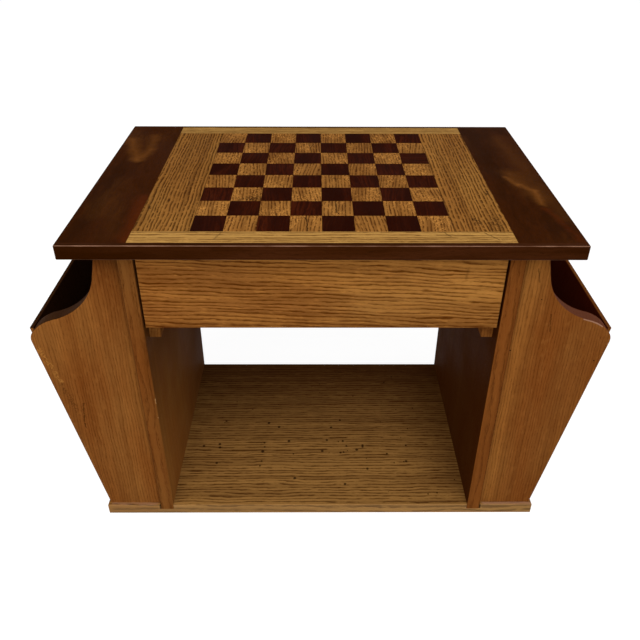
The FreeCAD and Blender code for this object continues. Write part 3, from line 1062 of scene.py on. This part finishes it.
def finish_edges():
    """The walnut edgings and the oak strips along the front and the back of the top."""
    woods = settings().woods
    for side, way, start, tone, marks in (
        # Painted light and shade: the front strip lighter, the back strip darker.
        ("front", "-Y", 0.0, at_share(woods.strip, 1.06), strip_marks()),
        ("back", "+Y", 3.0, at_share(woods.strip, 0.9), ()),
    ):
        edging, strip = f"{side}_edging", f"{side}_oak_strip"
        low, high = (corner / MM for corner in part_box(edging))
        # Painted shade: a dark line along the bottom of the edging's face.
        under = (woods.dark_line, 0.8, (3, 1), (low.x, low.z), (high.x, low.z))
        soften(edging, walnut(
            edging, (woods.edging, woods.walnut_dark, woods.walnut), "X", (start, 0.09, 0.03), swirl=10.0,
            figure=0.3, highlight_rub_box=whole_top(), marks=marks_on(flat_side(edging, way), under, core=0.0),
        ), whole_top())
        dress(strip, oak(
            strip, (tone, tone, woods.strip_line), "X", (start + 0.7, 0.2, 0.03), ring=4.6, line_share=0.45,
            wander=5.0, dash=22.0, breaks=0.8, depth=1.0, pores=0.6, curls=0.2, seam=0.5, marks=marks,
        ))


def finish_core():
    """The plywood core under the inlay."""
    dress("top_core", oak("top_core", bare_tones(), "X", (0.4, 0.3, 0.02), ring=9.0, depth=0.4, bare=True))


# --- Case ---

SHELF_DOTS = (
    (-70.5, -3), (-193, -44), (-167, -40), (-166, -47), (-93, -37), (-94.5, -55), (-92, -46), (-52, -34),
    (12, -32), (38.5, -34), (44, -44), (34, -58), (39, -57), (61, -52), (71, -43), (71, -46), (143, -43),
    (19, -4), (35, 12), (-162, 10.5), (-167, -78.5), (-95, -75), (-97, -84), (39, -119), (-88, 6), (4, -55),
    (76, -90), (110, -60), (-40, -108), (140, -75),
)


def finish_base():
    """The base board, with painted shade over the back and right of the shelf, dots of ink, and rubbed ledges
    in front of the pockets lightened with painted highlight.
    """
    woods = settings().woods
    line, ink, rubbed = woods.shelf_line, woods.mark, woods.rubbed
    shelf, front = flat_side("base_board", "+Z"), flat_side("base_board", "-Y")
    dress("base_board", oak(
        "base_board", (woods.shelf, woods.shelf, line), "X", (0.0, 0.26, 0.05), ring=4.8, line_share=0.5,
        dash=30.0, breaks=0.8, depth=0.95, pores=0.6, rays=0.05, specks=0.12,
        dots=(shelf, SHELF_DOTS, ink),
        patches_and_shade=[
            # Painted shade over the back and the right of the shelf.
            *marks_on(shelf, (line, 0.95, (210, 10), (-210, 150), (210, 150)), core=HAZY),
            *marks_on(shelf, (line, 0.65, (110, 10), (215, 150), (215, -90)), core=SOFT),
            *marks_on(front, (woods.case_warm, 0.6, (26, 8), (-375, 10), (-250, 10)), core=-0.3),
        ],
        marks=[
            *marks_on(front, (ink, 0.8, (1.2, 0.3), (242.5, 18), (242.5, 11)),
                      (ink, 0.8, (1.2, 0.3), (-242.5, 18), (-242.5, 11))),
            # Rubbed ledges in front of the pockets and two light spots on the front, lightened as painted
            # highlight.
            *marks_on(shelf, (rubbed, 0.75, (4, 1.2), (247, -153), (322, -153)),
                      (rubbed, 0.5, (4, 2.5), (-312, -153), (-247, -153)), core=HAZY),
            *marks_on(front, (rubbed, 0.5, (2, 1.2), (221, 12), (224, 9)),
                      (rubbed, 0.4, (2, 1), (-220, 17), (-219, 15)), core=HAZY),
        ],
        # Painted light: the front face paler than the shelf; the back edge given back its colour under the
        # painted shade.
        face_light_and_shade=(("-Y", woods.chips_and_lit_front, 0.2), ("+Y", woods.shelf, 0.6)),
    ))


def finish_uprights():
    """The uprights, with painted light and shade on both faces, chips on the left one and a redder front on
    the right.
    """
    woods = settings().woods
    inner, front = flat_side("left_side_panel", "+X"), flat_side("left_side_panel", "-Y")
    # Painted shade towards the top and back of the left upright's face in the bay.
    bay_shade = [
        *marks_on(inner, (woods.inside_shade, 0.75, (330, 10), (-155, 380), (155, 380)), core=0.0),
        *marks_on(inner, (woods.inside_shade, 1.0, (380, 10), (170, 420), (170, 110)), core=-0.1),
    ]
    chips = marks_on(front, (woods.chips_and_lit_front, 0.7, (0.9, 0.8), (-222.6, 236), (-222.6, 228)),
                     (woods.chips_and_lit_front, 0.6, (0.9, 0.8), (-222.6, 206), (-222.6, 201)))
    warmth = marks_on(front, (woods.case_warm, 0.8, (60, 10), (232, 450), (232, 0)), core=0.0)
    for side, start, patches_and_shade, marks, bay, pocket in (
        # Painted light and shade: the left face in the bay lighter, the right one darker, and both faces
        # inside the pockets dark.
        ("left", 0.0, (), chips, ("+X", woods.drawer, 0.25, *bay_shade), ("-X", woods.inside_shade, 0.95)),
        ("right", 1.7, warmth, (), ("-X", at_share(woods.walnut, 0.75), 0.9), ("+X", woods.red_inside_shade, 0.95)),
    ):
        node = f"{side}_side_panel"
        dress(node, oak(
            node, [at_share(tone, 0.86) for tone in case_tones()], "Z", (start, 0.3, 0.06), wander=6.0,
            dash=70.0, depth=0.5, patch=0.6, patches_and_shade=patches_and_shade, marks=marks, face_light_and_shade=(bay, pocket),
        ))


def finish_rails():
    """The back rail, and the unvarnished runners under the drawer and cleats under the top."""
    dress("back_rail", oak("back_rail", case_tones(), "X", (0.9, 0.15, 0.05), depth=0.7))
    for node, start, pith in (
        ("left_drawer_runner", 0.0, 0.1), ("right_drawer_runner", 1.7, 0.1), ("left_top_cleat", 0.0, 0.07),
        ("right_top_cleat", 1.7, 0.07),
    ):
        dress(node, oak(node, case_tones(), "Y", (start, pith, 0.02), depth=0.5, bare=True))


# --- Magazine pockets ---

# Points along the right pocket's ogee arris, where a painted highlight runs.
OGEE_HIGHLIGHT = ((329, 367.4), (340.2, 364), (347.8, 360.6), (354.8, 356.1))
PIN_HOLES = ((244, 317), (270.5, 398), (356, 300))


def pocket_patches_and_shade(side):
    """The brighter, redder and darker stretches of a front pocket end, and on the left a painted shadow under
    the top.
    """
    woods = settings().woods
    face = flat_side(f"{side}_pocket_front_end", "-Y")
    if side == "left":
        return marks_on(
            face,
            (woods.drawer, 0.25, (60, 8), (-285, 390), (-340, 310)),
            (woods.drawer, 0.2, (40, 8), (-250, 300), (-262, 60)),
            core=SOFT,
        # Painted shadow under the top's overhang.
        ) + marks_on(face, (woods.inside_shade, 1.0, (60, 4), (-235, 480), (-300, 480)), core=-0.3)
    return marks_on(
        face,
        (woods.drawer, 0.6, (34, 8), (256, 450), (250, 40)),
        (woods.case_warm, 0.7, (50, 10), (340, 320), (330, 120)),
        core=SOFT,
    )


def pocket_marks(side):
    """Dark flecks, a painted highlight along the ogee rim and pin holes in a front pocket end."""
    woods = settings().woods
    ink = woods.mark
    face = flat_side(f"{side}_pocket_front_end", "-Y")
    if side == "left":
        return marks_on(
            face,
            (ink, 0.6, (1.6, 2), (-323, 224), (-327, 190)),
            (ink, 0.6, (1.4, 2), (-327.5, 187), (-325.6, 176)),
        ) + marks_on(
            face,
            (ink, 0.35, (5, 4), (-358, 310), (-332, 200)),
            (woods.drawer, 0.6, (5, 4), (-362, 318), (-346, 262)),
            grainy=True,
        )
    return marks_on(
        face,
        (ink, 0.5, (1.4, 1), (286.4, 375), (289.4, 349)),
        (ink, 0.5, (1.2, 1), (258.7, 443), (263.4, 424)),
        (ink, 0.7, (1.4, 1), (242.2, 228), (242.2, 70)),
        # Painted highlight along the ogee arris.
        *((woods.rubbed, 0.9, (1.3, 0.3), first, last) for first, last in zip(OGEE_HIGHLIGHT, OGEE_HIGHLIGHT[1:])),
        *((ink, 0.9, (1.5, 0.4), spot, spot) for spot in PIN_HOLES),
    )


def finish_pockets():
    """The ogee end boards and sloping panels of the magazine pockets."""
    woods = settings().woods
    # Painted shade on the inner faces of both pockets; the left pocket's edges and rim near-black, the right
    # pocket's edges in a tone whose grey is partly painted sheen.
    for side, start, edges, to_case, inside, rim in (
        ("left", 0.0, (woods.mark, 0.9), "+X", woods.mark, (woods.mark, 0.9)),
        ("right", 4.1, (woods.right_edge_tone, 0.9), "-X", woods.red_inside_shade, (woods.case_line, 0.6)),
    ):
        for spot, inwards, shift in (("front", "+Y", 0.0), ("back", "-Y", 1.1)):
            node, seen = f"{side}_pocket_{spot}_end", spot == "front"
            soften(node, oak(
                node, case_tones(), "Z", (start + shift, 0.02, 0.16), wander=6.0, dash=50.0, depth=0.5,
                band=0.3, patch=0.8, patches_and_shade=pocket_patches_and_shade(side) if seen else (),
                marks=pocket_marks(side) if seen else (), edges=edges,
                face_light_and_shade=((inwards, woods.inside_shade, 0.9),),
            ))
        node = f"{side}_pocket_outer_panel"
        dress(node, oak(node, case_tones(), "Z", (start, 0.3, 0.04), ring=8.0, depth=0.4,
                        face_light_and_shade=((to_case, inside, 0.95), ("+Z", *rim))))


# --- Drawer ---

def finish_drawer():
    """The drawer front and the bare box behind it."""
    woods = settings().woods
    face = flat_side("drawer_front", "-Y")
    dress("drawer_front", oak(
        "drawer_front", (woods.drawer, woods.case, woods.drawer_line), "X", (0.0, 0.04, 0.2), ring=5.5,
        line_share=0.5, wander=7.0, dash=45.0, breaks=0.8, tilt=-0.05, patch=0.4,
        patches_and_shade=[
            *marks_on(face, (woods.strip, 0.4, (110, 10), (60, 395), (180, 410)),
                      (woods.case_warm, 0.6, (60, 10), (-215, 460), (-205, 380)), core=SOFT),
            *marks_on(face, (woods.case_line, 0.6, (14, 4), (-220, 358), (220, 358)), core=HAZY),
        ],
        marks=marks_on(face, (woods.mark, 0.4, (5, 4), (171.5, 446), (172, 441)),
                       (woods.mark, 0.5, (3.5, 3), (174, 434), (174, 431)), core=-0.4),
    ))
    for node, grain, start in (
        ("drawer_left_side", "Y", 0.0), ("drawer_right_side", "Y", 1.0), ("drawer_back", "X", 2.0),
        ("drawer_bottom", "X", 3.0),
    ):
        dress(node, oak(node, bare_tones(), grain, (start, 0.12, 0.04), ring=3.5, depth=0.5, bare=True))


# --- Screws and nails ---

# The point's length in shank widths and its end's width as a share, and the slot's length in head widths
TIP_LENGTH, TIP_WIDTH, SLOT_REACH = 1.6, 0.15, 1.2

# Stains on steel: how fine they are, their tone as a share of the steel's, and their roughness
STAIN_SCALE, STAIN_TONE, STAIN_ROUGH = 420.0, 0.45, 0.2

# Width of the shank and depth of the head in millimetres, and whether the head is slotted
SCREW = (4.2, 2.6, True)
FASTENERS = {
    "base_screws": SCREW,
    "top_screws": SCREW,
    "cleat_screws": SCREW,
    "runner_screws": SCREW,
    "rail_screws": SCREW,
    "pocket_nails": (2.4, 1.0, False),
    "panel_brads": (1.2, 0.6, False),
    "drawer_nails": (1.6, 0.8, False),
}


def fastener_places(node):
    """Measures each screw or nail of a node."""
    form = welded(node)
    seen, found = set(), []
    for first in form.verts:
        if first in seen:
            continue
        seen.add(first)
        waiting, points = [first], []
        while waiting:
            vert = waiting.pop()
            points.append(vert.co[:])
            fresh = {edge.other_vert(vert) for edge in vert.link_edges} - seen
            seen |= fresh
            waiting += fresh
        found.append(measure_fastener(np.array(points)))
    form.free()
    return found


def measure_fastener(points):
    """The head's centre, the direction from head to point, the length and the head's width."""
    centre = points.mean(axis=0)
    axis = np.linalg.svd(points - centre)[2][0]
    along = (points - centre) @ axis
    away = np.linalg.norm(points - centre - np.outer(along, axis), axis=1)
    if away[along > along.max() - CLOSE].max() > away[along < along.min() + CLOSE].max():
        axis, along = -axis, -along
    middle = np.median(points - np.outer(along, axis), axis=0)
    return middle + axis * along.min(), axis, along.max() - along.min(), 2 * away.max()


def build_fastener(slotted):
    """One turned fastener, set at each point with its head outwards."""
    tree, enter = new_group("Slotted Screws" if slotted else "Wire Nails", {
        "Geometry": "Geometry", "Head Width": 0.008, "Head Depth": 0.0026, "Shank Width": 0.004,
        "Length": 0.03, "Slot Width": 0.001, "Slot Depth": 0.001, "Sides": 24, "Material": "Material",
    }, "GeometryNodeTree")
    head_width, head_depth, shank_width = enter["Head Width"], enter["Head Depth"], enter["Shank Width"]
    tip = shank_width * TIP_LENGTH
    body = add(tree, "GeometryNodeMeshCone", {
        "Vertices": enter["Sides"], "Radius Top": shank_width * 0.5, "Radius Bottom": head_width * 0.5,
        "Depth": head_depth,
    })
    for run in (enter["Length"] - head_depth - tip, tip):
        body = add(tree, "GeometryNodeExtrudeMesh", {
            "Mesh": body, "Selection": body["Top"], "Offset": join(z=run), "Offset Scale": 1.0,
        }, mode="FACES")
    body = add(tree, "GeometryNodeScaleElements", {
        "Geometry": body, "Selection": body["Top"], "Scale": TIP_WIDTH,
    }, domain="FACE")
    if slotted:
        slot = join(head_width * SLOT_REACH, enter["Slot Width"], enter["Slot Depth"] * 2.0)
        cutter = add(tree, "GeometryNodeMeshCube", {"Size": slot})
        body = add(tree, "GeometryNodeMeshBoolean", {0: body, 1: cutter}, operation="DIFFERENCE")
    flat = add(tree, "GeometryNodeSetShadeSmooth", {"Geometry": body, "Shade Smooth": False})
    lean = add(tree, "GeometryNodeInputNamedAttribute", {"Name": "lean"}, data_type="FLOAT_VECTOR")
    rotation = add(tree, "FunctionNodeEulerToRotation", {"Euler": lean})
    return set_out(tree, enter["Geometry"], flat, enter["Material"], Rotation=rotation)


def steel(name, tone, roughness):
    """Dull bare steel with darker stains."""
    material = bpy.data.materials.new(name)
    tree = start_tree(material)
    stain = add(tree, "ShaderNodeTexCoord")["Object"].noise(STAIN_SCALE, detail=3.0).ramp(0.4, 0.65)
    close_surface(tree, {
        "Base Color": stain.between(tone, at_share(tone, STAIN_TONE)), "Metallic": 1.0,
        "Roughness": stain * STAIN_ROUGH + roughness,
    })
    return material


def finish_iron():
    """Every screw and nail, turned and slotted, where the frame has it."""
    table = settings()
    iron, draws = table.iron, np.random.default_rng(table.finish.seed)
    zinc, bare = steel("Screw Steel", iron.screw, 0.35), steel("Nail Steel", iron.nail, 0.45)
    trees = {slotted: build_fastener(slotted) for slotted in (True, False)}
    for node, (shank, head_depth, slotted) in FASTENERS.items():
        found = fastener_places(node)
        mesh = bpy.data.meshes.new(node + "_places")
        mesh.from_pydata([tuple(head) for head, _, _, _ in found], [], [])
        leans = mesh.attributes.new("lean", "FLOAT_VECTOR", "POINT")
        for item, (_, axis, _, _) in zip(leans.data, found):
            spin = Matrix.Rotation(draws.uniform(0, math.pi), 3, "Z")
            item.vector = (Vector(axis).to_track_quat("Z", "Y").to_matrix() @ spin).to_euler()
        _, _, whole, head_width = found[0]
        grow(node + "_turned", mesh, trees[slotted], {
            "Head Width": head_width, "Head Depth": head_depth * MM, "Shank Width": shank * MM,
            "Length": whole, "Slot Width": iron.slot_width, "Slot Depth": iron.slot_depth,
            "Sides": iron.sides, "Material": zinc if slotted else bare,
        }, node)


# --- Stage ---

# The sensor's width in millimetres, and how far the camera sees in metres
SENSOR_WIDTH, CLIP_END = 36.0, 100

# Where the lamps hang and how wide they are, in metres
KEY_LAMP, KEY_SIZE = (0.35, -1.6, 2.6), 2.4
FILL_LAMP, FILL_SIZE = (-1.6, -1.9, 1.3), 1.6

# How bright the lamps make a white floor, and how fast the low sky fades upwards
FLOOR_LIGHT, SKY_FALL = 0.4, 4.0


def set_camera(studio):
    """The camera looks along +Y, turned right by yaw, down by pitch and tipped by roll."""
    data = bpy.data.cameras.new("camera")
    data.sensor_width = SENSOR_WIDTH
    data.lens = studio.lens
    data.shift_y = studio.rise
    data.clip_end = CLIP_END
    facing = (Matrix.Rotation(-studio.yaw, 4, "Z") @ Matrix.Rotation(math.pi / 2 - studio.pitch, 4, "X")
              @ Matrix.Rotation(studio.roll, 4, "Z"))
    made = put("camera", data)
    made.matrix_world = Matrix.Translation(studio.eye) @ facing
    bpy.context.scene.camera = made


def add_lamp(name, spot, watts, size):
    """A square soft lamp that looks at the middle of the table."""
    data = bpy.data.lights.new(name, "AREA")
    data.shape = "SQUARE"
    data.size = size
    data.energy = watts
    made = put(name, data)
    made.location = spot
    middle = Vector((0, 0, (CAD_BOX[0][2] + CAD_BOX[1][2]) / 2))
    made.rotation_euler = (middle - Vector(spot)).to_track_quat("-Z", "Y").to_euler()


def looked_at(tree):
    """1 where the camera looks, straight, in a mirror or through glass, and 0 for all other light."""
    rays = add(tree, "ShaderNodeLightPath")
    straight = calc("MAXIMUM", rays["Is Camera Ray"], rays["Is Glossy Ray"])
    return calc("MAXIMUM", straight, rays["Is Transmission Ray"])


def floor_material(studio):
    """A pale floor that looks white and keeps the table's shadow."""
    material = bpy.data.materials.new("Studio Floor")
    tree = start_tree(material)
    matt = add(tree, "ShaderNodeBsdfDiffuse", {"Color": (studio.floor_tone,) * 3})
    glow = add(tree, "ShaderNodeEmission", {
        "Strength": looked_at(tree) * (1.0 - FLOOR_LIGHT * studio.floor_tone),
    })
    both = add(tree, "ShaderNodeAddShader", {0: matt, 1: glow})
    add(tree, "ShaderNodeOutputMaterial", {"Surface": both})
    return material


def set_world(studio):
    """A soft sky, brighter in front and above, and white where it is seen."""
    world = bpy.data.worlds.new("studio")
    bpy.context.scene.world = world
    tree = start_tree(world)
    x, y, z = add(tree, "ShaderNodeTexCoord")["Generated"].parts()
    low = calc("POWER", 1.0 - abs(z), SKY_FALL)
    light = studio.sky_all
    for towards, strength in (
        (y * -1.0, studio.sky_front), (y, low * studio.sky_back), (x * -1.0, low * studio.sky_side),
        (x, low * studio.sky_side), (z, studio.sky_top),
    ):
        light = calc("MAXIMUM", towards, 0.0) * strength + light
    white = looked_at(tree)
    back = add(tree, "ShaderNodeBackground", {
        "Color": (1.0, 1.0, 1.0), "Strength": white + (1.0 - white) * light,
    })
    add(tree, "ShaderNodeOutputWorld", {"Surface": back})


def set_stage():
    """The floor, lamps, sky and camera."""
    studio = settings().studio
    half = studio.floor / 2
    mesh = bpy.data.meshes.new("studio_floor")
    mesh.from_pydata([(-half, -half, 0), (half, -half, 0), (half, half, 0), (-half, half, 0)], [],
                     [(0, 1, 2, 3)])
    mesh.materials.append(floor_material(studio))
    ground = put("studio_floor", mesh)
    add_lamp("key_lamp", KEY_LAMP, studio.key, KEY_SIZE)
    add_lamp("fill_lamp", FILL_LAMP, studio.fill, FILL_SIZE)
    set_world(studio)
    set_camera(studio)
    bpy.context.scene.view_settings.view_transform = "Standard"


# --- Operators and panel ---

class CHESSTABLE_OT_top(bpy.types.Operator):
    """Finish the walnut boards, edging, oak strips and oak fields of the top"""
    bl_idname = "chesstable.top"
    bl_label = "Finish Top"

    def execute(self, context):
        finish_ends()
        finish_edges()
        finish_core()
        return {"FINISHED"}


class CHESSTABLE_OT_squares(bpy.types.Operator):
    """Lay the dark and light squares of the board"""
    bl_idname = "chesstable.squares"
    bl_label = "Lay Chess Squares"

    def execute(self, context):
        lay_squares()
        return {"FINISHED"}


class CHESSTABLE_OT_case(bpy.types.Operator):
    """Finish the base board, uprights, back rail, runners and cleats"""
    bl_idname = "chesstable.case"
    bl_label = "Finish Case"

    def execute(self, context):
        finish_base()
        finish_uprights()
        finish_rails()
        return {"FINISHED"}


class CHESSTABLE_OT_pockets(bpy.types.Operator):
    """Finish the ogee ends and sloping panels of the magazine pockets"""
    bl_idname = "chesstable.pockets"
    bl_label = "Finish Magazine Pockets"

    def execute(self, context):
        finish_pockets()
        return {"FINISHED"}


class CHESSTABLE_OT_drawer(bpy.types.Operator):
    """Finish the drawer front and the drawer box"""
    bl_idname = "chesstable.drawer"
    bl_label = "Finish Drawer"

    def execute(self, context):
        finish_drawer()
        return {"FINISHED"}


class CHESSTABLE_OT_iron(bpy.types.Operator):
    """Turn the screws and nails"""
    bl_idname = "chesstable.iron"
    bl_label = "Turn Screws And Nails"

    def execute(self, context):
        finish_iron()
        return {"FINISHED"}


class CHESSTABLE_OT_stage(bpy.types.Operator):
    """Set the floor, lamps, sky and camera"""
    bl_idname = "chesstable.stage"
    bl_label = "Set Stage"

    def execute(self, context):
        set_stage()
        return {"FINISHED"}


OPERATORS = (
    CHESSTABLE_OT_top,
    CHESSTABLE_OT_squares,
    CHESSTABLE_OT_case,
    CHESSTABLE_OT_pockets,
    CHESSTABLE_OT_drawer,
    CHESSTABLE_OT_iron,
    CHESSTABLE_OT_stage,
)


class CHESSTABLE_PT_sidebar(bpy.types.Panel):
    """The table's settings and the steps that use them"""
    bl_idname = "CHESSTABLE_PT_sidebar"
    bl_label = "Chess Table"
    bl_space_type = "VIEW_3D"
    bl_region_type = "UI"
    bl_category = "Chess Table"

    def draw(self, context):
        for group in ("woods", "finish", "inlay", "iron", "studio"):
            values = getattr(settings(), group)
            box = self.layout.box()
            box.label(text=group.title())
            for name in values.__annotations__:
                box.prop(values, name)
        for step in OPERATORS:
            self.layout.operator(step.bl_idname)


CLASSES = (TableWoods, TableFinish, TableInlay, TableIron, TableStudio, TableSettings, *OPERATORS,
           CHESSTABLE_PT_sidebar)


def register():
    for item in CLASSES:
        bpy.utils.register_class(item)
    bpy.types.Scene.chess_table = PointerProperty(type=TableSettings, name="Chess Table",
                                                  description="Settings of the chess table")


def unregister():
    del bpy.types.Scene.chess_table
    for item in reversed(CLASSES):
        bpy.utils.unregister_class(item)


def main():
    """Makes the whole scene."""
    register()
    for step in OPERATORS:
        getattr(bpy.ops.chesstable, step.bl_idname.split(".")[1])()


if __name__ == "__main__":
    main()
